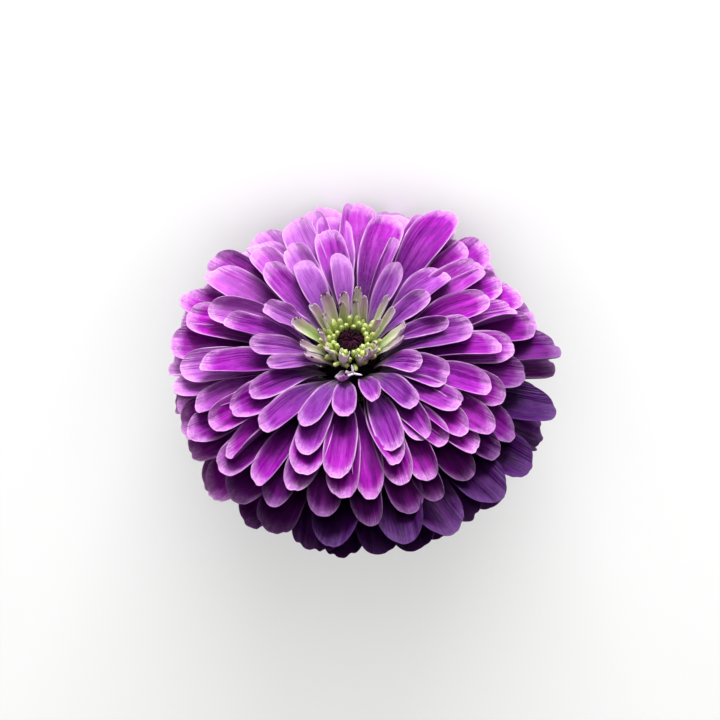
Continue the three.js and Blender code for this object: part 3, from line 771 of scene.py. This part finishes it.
def add_piece(name, vertices, faces, values, material, replaces=()):
    """A smooth mesh from points in the bloom's frame, with named numbers on its vertices."""
    mesh = bpy.data.meshes.new(name)
    mesh.from_pydata(lay_down(vertices).tolist(), [], [list(map(int, f)) for f in faces])
    mesh.polygons.foreach_set("use_smooth", [True] * len(mesh.polygons))
    for key, value in values.items():
        layer = mesh.attributes.new(key, "FLOAT", "POINT")
        layer.data.foreach_set("value", np.asarray(value, np.float32))
    mesh.update()
    mesh.materials.append(material)
    piece = added(name, mesh)
    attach(piece, "root")
    if replaces:
        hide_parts(*replaces)


def add_turned(name, parts, material, replaces=(), end=1):
    """One piece made of turned bodies, which ends at this share of the ramp of colours."""
    vertices, faces, along = merged(parts)
    add_piece(name, vertices, faces, {"along": along * end}, material, replaces)


# --- finishes
class Finish:
    """A material's node tree, with short names for the nodes that the finishes share."""

    # Which of a Mix node's sockets hold colours.
    MIX_BELOW, MIX_ABOVE, MIX_RESULT = 6, 7, 2

    def __init__(self, name):
        self.look = LOOKS[name]
        self.material = bpy.data.materials.new(name)
        self.material.use_nodes = True
        self.tree = self.material.node_tree
        self.shader = self.tree.nodes["Principled BSDF"]
        for socket, value in (SHADER | self.look["shader"]).items():
            self.feed(value, self.shader.inputs[socket])
        self.fields = {}
        for kind, pattern in (("veins", self.veins), ("blotches", self.blotches)):
            for key, numbers in self.look.get(kind, {}).items():
                self.fields[key] = pattern(*numbers)

    def node(self, kind, **inputs):
        made = self.tree.nodes.new(kind)
        for socket, value in inputs.items():
            self.feed(value, made.inputs[socket])
        return made

    def feed(self, value, socket):
        if isinstance(value, bpy.types.NodeSocket):
            self.tree.links.new(value, socket)
        else:
            socket.default_value = value

    def field(self, key):
        """A pattern of this finish, or a number that the mesh holds on its vertices."""
        if key not in self.fields:
            node = self.node("ShaderNodeAttribute")
            node.attribute_name = key
            self.fields[key] = node.outputs["Fac"]
        return self.fields[key]

    def math(self, operation, a, b):
        node = self.node("ShaderNodeMath")
        node.operation = operation
        self.feed(a, node.inputs[0])
        self.feed(b, node.inputs[1])
        return node.outputs[0]

    def noise(self, vector, *numbers):
        values = dict(zip(("Scale", "Detail", "Roughness"), numbers))
        return self.node("ShaderNodeTexNoise", Vector=vector, **values).outputs["Fac"]

    def blotches(self, *numbers):
        """Noise through space, in the object's own metres."""
        return self.noise(self.node("ShaderNodeTexCoord").outputs["Object"], *numbers)

    def veins(self, fine, run):
        """Lengthwise streaks that draw together towards the foot of the blade."""
        shift = self.math("MULTIPLY", self.field("tone"), VEIN_SHIFT)
        across = self.math("ADD", self.math("MULTIPLY", self.field("across"), fine), shift)
        along = self.math("MULTIPLY", self.field("along"), run)
        vector = self.node("ShaderNodeCombineXYZ", X=across, Y=along, Z=self.field("tone"))
        return self.noise(vector.outputs[0], *VEIN_NOISE)

    def step(self, value, low, high, at_low=0.0, at_high=1.0):
        """A smooth step from one number to another while the value goes from low to high."""
        node = self.node("ShaderNodeMapRange", Value=value)
        node.interpolation_type = "SMOOTHSTEP"
        for key, number in zip(("From Min", "From Max", "To Min", "To Max"), (low, high, at_low, at_high)):
            node.inputs[key].default_value = number
        return node.outputs["Result"]

    def mix(self, share, below, above, blend="MIX"):
        node = self.node("ShaderNodeMix")
        node.data_type = "RGBA"
        node.blend_type = blend
        self.feed(share, node.inputs["Factor"])
        for value, socket in ((below, self.MIX_BELOW), (above, self.MIX_ABOVE)):
            colour = value if isinstance(value, bpy.types.NodeSocket) else (*value, 1)
            self.feed(colour, node.inputs[socket])
        return node.outputs[self.MIX_RESULT]

    def ramp(self, stops):
        """Colours along the piece between the stops, the first of which is at 0 and the last at 1."""
        node = self.node("ShaderNodeValToRGB", Fac=self.field("along"))
        elements = node.color_ramp.elements
        elements[0].color = (*stops[0][1], 1)
        elements[1].color = (*stops[-1][1], 1)
        for position, colour in stops[1:-1]:
            elements.new(position).color = (*colour, 1)
        return node.outputs["Color"]

    def layered(self, ground, layers):
        """A colour with layers of other colours over it."""
        for name, (colour, *fades) in layers.items():
            strength = 1.0
            for follows, *limits in fades:
                fade = self.step(self.field(follows), *limits) if limits else self.field(follows)
                strength = self.math("MULTIPLY", strength, fade)
            blend = "MULTIPLY" if name.endswith("tint") else "MIX"
            ground = self.mix(strength, ground, colour, blend)
        return ground

    def finished(self, colour):
        """The material, with its colour and the pattern that stands up from it."""
        self.feed(colour, self.shader.inputs["Base Color"])
        if "bump" in self.look:
            pattern, height = self.look["bump"]
            bump = self.node("ShaderNodeBump", Height=self.fields[pattern], Distance=height)
            self.feed(bump.outputs["Normal"], self.shader.inputs["Normal"])
        return self.material


def petal_finish():
    """Purple, darker towards the foot (partly its own colour, partly painted shade) and paler at its edges
    and end (partly its own colour, partly painted highlight), with painted sheen on one side, painted shade
    on the low side's oldest petals, and green-lilac on the youngest petals.
    """
    finish = Finish("petal")
    finish.fields["speckle"] = finish.step(finish.field("spots"), *SPECKLE)
    ground = finish.mix(finish.field("youth"), finish.ramp(PETAL_RAMP), finish.ramp(LILAC_RAMP))
    upper = finish.layered(ground, PETAL_UPPER)
    under = finish.layered(UNDER_GROUND, PETAL_UNDER)
    both = finish.mix(finish.field("upper"), under, upper)
    return finish.finished(finish.layered(both, PETAL_BOTH))


def young_finish():
    """Green at the foot and white to lilac at the end, with a purple blush on some."""
    finish = Finish("young_ray")
    both = finish.mix(finish.field("upper"), finish.ramp(YOUNG_OUTSIDE), finish.ramp(YOUNG_INSIDE))
    both = finish.mix(finish.field("blush"), both, finish.ramp(YOUNG_BLUSH))
    return finish.finished(finish.layered(both, YOUNG_LAYERS))


def plain_finish(name):
    """One of the finishes that are the same on both sides."""
    finish = Finish(name)
    look = LOOKS[name]
    ground = finish.ramp(look["ramp"]) if "ramp" in look else look["ground"]
    return finish.finished(finish.layered(ground, look["layers"]))


# --- the flower's pieces
def petal_style(whorl, youth, rng):
    """How one petal's blade differs from the plain one."""
    style = drawn(PETAL_RANGES, rng)
    for key, share in YOUNG_SHARES.items():
        style[key] *= lerp(1, share, youth)
    style["notch"] *= lerp(OLD_NOTCHES, 1, smoothstep(0, NOTCHED_WHORLS, whorl))
    return style


def low_side(azimuth):
    """How far an azimuth is on the side where the oldest petals hang, from 0 to 1."""
    return smoothstep(*LOW_SIDE, facing(azimuth, LOW_AZIMUTH))


def petal_tones(whorl, azimuth, youth, rng):
    """What the finish varies with from petal to petal."""
    whorl_shade = 1 - smoothstep(*SHADED_WHORLS, whorl)
    sheen_side = 0.5 + 0.5 * facing(azimuth, SHEEN_AZIMUTH)
    return {
        "youth": youth,
        "tone": rng.uniform(*TONES),
        # A random pale tone plus painted sheen that grows towards the side of the key light.
        "pale_tone_and_sheen": np.clip(SHEEN_SHARE * sheen_side + rng.uniform(*PALE_TONE_STRAY), 0, 1),
        # Painted shade, most on the oldest petals of the low side, with a little at random.
        "deep": np.clip(whorl_shade * low_side(azimuth) + rng.uniform(*PAINTED_SHADE_STRAY), 0, 1),
    }


def add_petal(whorl, j, where, youth, material):
    """Petal j of a whorl. Pieces and special petals are numbered from 1."""
    rng = random_numbers("petals", whorl, j)
    special = SPECIAL_PETALS.get((whorl + 1, j + 1), {})
    shape = PETAL | petal_style(whorl, youth, rng) | where | special
    shape["bend"] += CLOSING.get(whorl + 1, 0) * low_side(where["azimuth"])
    tones = petal_tones(whorl, shape["azimuth"], youth, rng)
    tones["pale_tone_and_sheen"] = special.get("pale_tone_and_sheen", tones["pale_tone_and_sheen"])
    name = f"petal_{whorl + 1}_{j + 1:02d}"
    node = f"ray_whorl_{whorl + 1}"
    if whorl < SEPARATE_WHORLS:
        node = f"ray_petal_{whorl * PER_WHORL + j + 1:02d}"
    add_blade(name, shape, rng, tones, material, node)


def add_petals():
    material = petal_finish()
    for whorl in range(WHORLS):
        youth = smoothstep(*YOUTH, whorl)
        for j, where in enumerate(whorl_shapes(whorl)):
            add_petal(whorl, j, where, youth, material)


def young_ray(azimuth, base, tip, width, rng):
    """A young ray's shape and what its finish varies with."""
    shape = YOUNG | drawn(YOUNG_RANGES, rng)
    shape |= {"azimuth": azimuth, "base": base, "tip": tip, "width": width * YOUNG_BREADTH}
    tones = {"tone": rng.uniform(*TONES), "blush": rng.uniform(*BLUSHES)}
    if azimuth in ROLLED_RAYS:
        shape |= ROLLED | ROLLED_RAYS[azimuth]
        tones["blush"] *= ROLLED_BLUSH
    if azimuth == CURLED_RAY["azimuth"]:
        shape |= CURLED_RAY
        tones["blush"] = CURLED_BLUSH
    return shape, tones


def add_young_rays():
    material = young_finish()
    for n, (node, (height, rows)) in enumerate(YOUNG_WHORLS.items()):
        base = seat(height, RING_WALL / 2)
        for j, (azimuth, reach, tip_height, width) in enumerate(rows):
            rng = random_numbers("young_rays", n, j)
            shape, tones = young_ray(azimuth, base, (reach, tip_height), width, rng)
            name = f"{node.replace('rays', 'ray')}_{j + 1:02d}"
            add_blade(name, shape, rng, tones, material, node)


def add_stigma():
    """The pale forked stigma at the foot of the curled ray."""
    radius, height = STIGMA_FOOT
    parts = [stood(tube(STIGMA_STALK, STIGMA_SIDES), STIGMA_AZIMUTH, radius, height, STIGMA_LEAN)]
    up, out = swung(STIGMA_LENGTH, 0, STIGMA_LEAN)
    arm = tube(STIGMA_ARM, STIGMA_SIDES)
    for splay, lean in STIGMA_ARMS:
        parts.append(stood(arm, STIGMA_AZIMUTH, radius + out, height + up, lean, splay))
    vertices, faces, along = merged(parts)
    values = dict.fromkeys(("rim", "tone", "blush", "upper", "across"), np.zeros_like(along))
    values |= {"along": along, "end": np.full_like(along, STIGMA_END)}
    add_piece("stigma", vertices, faces, values, young_finish())


def add_bracts():
    material = plain_finish("bract")
    for n, (node, (height, tip_radius, tip_height, first)) in enumerate(BRACT_WHORLS.items()):
        base = seat(height, RING_WALL / 2)
        for j in range(BRACTS_PER_WHORL):
            rng = random_numbers("bracts", n, j)
            azimuth, tip = first + 360 / BRACTS_PER_WHORL * j, (tip_radius, tip_height)
            shape = BRACT | {"azimuth": azimuth, "base": base, "tip": tip, "roll": rng.uniform(*BRACT_ROLL)}
            tones = {"tone": rng.uniform(*TONES)}
            add_blade(f"{node}_{j + 1}", shape, rng, tones, material, node)


def knob_part(radius, length, turn):
    """A disc floret: a lobed knob on a thin foot."""
    outline = [(0, 0, 0), (KNOB_FOOT, 0, 0)]
    outline += [(radius * out, length * up, along) for out, up, along in KNOB_OUTLINE]
    return tube(
        outline, KNOB_SIDES,
        lambda angle, k: 1 + LOBE_DEPTH * (k + 1) * np.cos(KNOB_LOBES * angle + turn),
    )


def add_disc_florets():
    rng = random_numbers("disc_florets")
    radius, height = seat(KNOB_HEIGHT, RING_WALL / 2)
    out, up = KNOB_TIP[0] - radius, KNOB_TIP[1] - height
    length, lean = math.hypot(out, up), math.degrees(math.atan2(out, up))
    parts = []
    for offset, drop, share, more_lean, first in KNOB_ROWS:
        for j in range(KNOB_COUNT):
            own = drawn(KNOB_RANGES, rng)
            knob = knob_part(KNOB_RADIUS * own["radius"], length * share * own["length"], own["turn"])
            azimuth = 360 / KNOB_COUNT * (j + first) + own["azimuth"]
            tilt = lean + more_lean + own["lean"]
            parts.append(stood(knob, azimuth, radius + offset, height - drop, tilt))
    add_turned("disc_floret_ring", parts, plain_finish("disc_floret"), ["disc_florets"])


def scale_part(length, radius):
    """A chaff scale: a narrow pointed body standing up from its foot."""
    outline = [(0, SCALE_FOOT, 0), (SCALE_FOOT_RADIUS * radius, SCALE_FOOT, 0)]
    outline += [(radius * out, length * up, along) for out, up, along in SCALE_OUTLINE]
    return tube(outline, SCALE_SIDES)


def add_eye():
    """The dome of packed scales: rings of them lean in towards its middle."""
    rng = random_numbers("eye")
    parts = [tube(EYE_DOME, EYE_SIDES)]
    for count, radius, height, length, lean in EYE_RINGS:
        for j in range(count):
            own = drawn(EYE_RANGES, rng)
            scale = scale_part(length * own["length"], own["radius"])
            azimuth = 360 / count * (j + own["turn"])
            parts.append(stood(scale, azimuth, radius, height, lean + own["lean"]))
    add_turned("eye_scales", parts, plain_finish("eye"), ["eye"])


def add_chaff():
    """Dark scales between the florets, up the receptacle."""
    rng = random_numbers("chaff")
    parts = []
    for i in range(CHAFF_COUNT):
        share = (i + 0.5) / CHAFF_COUNT
        radius, height = seat(lerp(*CHAFF_HEIGHTS, share))
        own = drawn(CHAFF_RANGES, rng)
        scale = scale_part(own["length"], own["radius"])
        lean = lerp(*CHAFF_LEANS, share) + own["lean"]
        parts.append(stood(scale, i * GOLDEN_ANGLE, radius - CHAFF_SUNK, height, lean))
    add_turned("chaff", parts, plain_finish("eye"), end=CHAFF_END)


def add_receptacle():
    heights = np.linspace(RECEPTACLE_HEIGHTS[0], RECEPTACLE_HEIGHTS[-1], RECEPTACLE_RINGS)
    radii = np.interp(heights, RECEPTACLE_HEIGHTS, RECEPTACLE_RADII)
    side = zip(radii, heights, np.linspace(0, 1, RECEPTACLE_RINGS))
    outline = [(0, heights[0], 0), *side, (0, heights[-1], 1)]
    core = tube(
        outline, RECEPTACLE_SIDES,
        lambda angle, k: 1 - PIT_DEPTH * (1 + np.cos(PITS_ROUND * angle + PITS_TURN * k)),
    )
    add_turned("receptacle_core", [core], plain_finish("receptacle"), ["receptacle"])


def rib_groove(angle):
    """How deep the stem's skin lies between its ribs at an angle, from 0 to 2."""
    return 1 + np.cos(STEM_RIBS * angle)


def add_stem():
    """A ribbed stem, hollow for a little way at its cut end."""
    depths = np.linspace(STEM_TOP_DEPTH, STEM_LENGTH, STEM_RINGS)
    radii = np.interp(depths, STEM_DEPTHS, STEM_RADII)
    side = [(r, -d, d / STEM_LENGTH) for r, d in zip(radii, depths)][::-1]
    edge = (radii[-1] - CUT_ROUNDING[0], CUT_ROUNDING[1])
    cut = [(r, h - STEM_LENGTH, CUT_FACE) for r, h in [*STEM_HOLLOW, edge]]
    vertices, faces, along = tube(
        [*cut, *side, (0, -STEM_TOP_DEPTH, 0)], STEM_SIDES,
        lambda angle, k: 1 - RIB_DEPTH * rib_groove(angle) * (k >= len(STEM_HOLLOW)),
    )
    rib = 1 - rib_groove(np.arctan2(vertices[:, 1], vertices[:, 0])) / 2
    values = {"along": along, "rib": rib}
    add_piece("stem_skin", vertices, faces, values, plain_finish("stem"), ["stem"])


# --- camera, lights and floor
def add_camera():
    """A camera that looks down on the bloom and has its eye where the picture has it."""
    sin, cos = math.sin(CAMERA_LEAN), math.cos(CAMERA_LEAN)
    back, up = Vector((0, -sin, cos)), Vector((0, -cos, -sin))
    right = up.cross(back)
    eye = Vector(lay_down([0, 0, EYE_HEIGHT]))
    middle = PICTURE_WIDTH / 2
    to_middle = right * (middle - EYE_PIXEL[0]) - up * (middle - EYE_PIXEL[1])
    place = eye + to_middle / PIXELS_PER_METRE + back * CAMERA_DISTANCE
    data = bpy.data.cameras.new("camera")
    data.sensor_width = SENSOR
    data.lens = SENSOR * CAMERA_DISTANCE * PIXELS_PER_METRE / PICTURE_WIDTH
    data.clip_start = CLIP_START
    camera = added("camera", data)
    camera.matrix_world = Matrix([*zip(right, up, back, place), (0, 0, 0, 1)])
    bpy.context.scene.camera = camera


def add_light(name, place, target, size, power, colour, receivers):
    data = bpy.data.lights.new(name, "AREA")
    data.shape = "RECTANGLE"
    data.size, data.size_y = size
    data.energy = power
    data.color = colour
    light = added(name, data)
    light.location = place
    light.rotation_euler = (Vector(target) - Vector(place)).to_track_quat("-Z", "Y").to_euler()
    light.visible_camera = False
    light.light_linking.receiver_collection = receivers


def add_lights(floor):
    """A soft low light on the bloom's face, a weak one on its back, and one for the floor alone."""
    only_floor, all_but_floor = (bpy.data.collections.new(name) for name in ("lit_floor", "unlit_floor"))
    only_floor.objects.link(floor)
    all_but_floor.objects.link(floor)
    all_but_floor.collection_objects[0].light_linking.link_state = "EXCLUDE"
    receivers = {"back": all_but_floor, "floor_light": only_floor}
    for name, light in LIGHTS.items():
        add_light(name, *light, receivers.get(name))
    bpy.context.scene.view_settings.view_transform = "Standard"


def add_world():
    """A pale studio backdrop, which gives the bloom only a little light of its own."""
    world = bpy.data.worlds.new("studio")
    world.use_nodes = True
    tree = world.node_tree
    backdrop = tree.nodes["Background"]
    backdrop.inputs["Color"].default_value = (*WORLD_COLOUR, 1)
    path = tree.nodes.new("ShaderNodeLightPath")
    strength = tree.nodes.new("ShaderNodeMapRange")
    strength.inputs["To Min"].default_value = WORLD_LIGHT
    strength.inputs["To Max"].default_value = BACKDROP_LIGHT
    tree.links.new(path.outputs["Is Camera Ray"], strength.inputs["Value"])
    tree.links.new(strength.outputs["Result"], backdrop.inputs["Strength"])
    bpy.context.scene.world = world


def add_floor():
    corners = [(x * FLOOR_HALF, y * FLOOR_HALF, 0) for x, y in ((-1, -1), (1, -1), (1, 1), (-1, 1))]
    mesh = bpy.data.meshes.new("floor")
    mesh.from_pydata(corners, [], [(0, 1, 2, 3)])
    mesh.materials.append(plain_finish("floor"))
    floor = added("floor", mesh)
    return floor


add_camera()
add_lights(add_floor())
add_world()
add_petals()
add_young_rays()
add_stigma()
add_disc_florets()
add_eye()
add_chaff()
add_bracts()
add_receptacle()
add_stem()
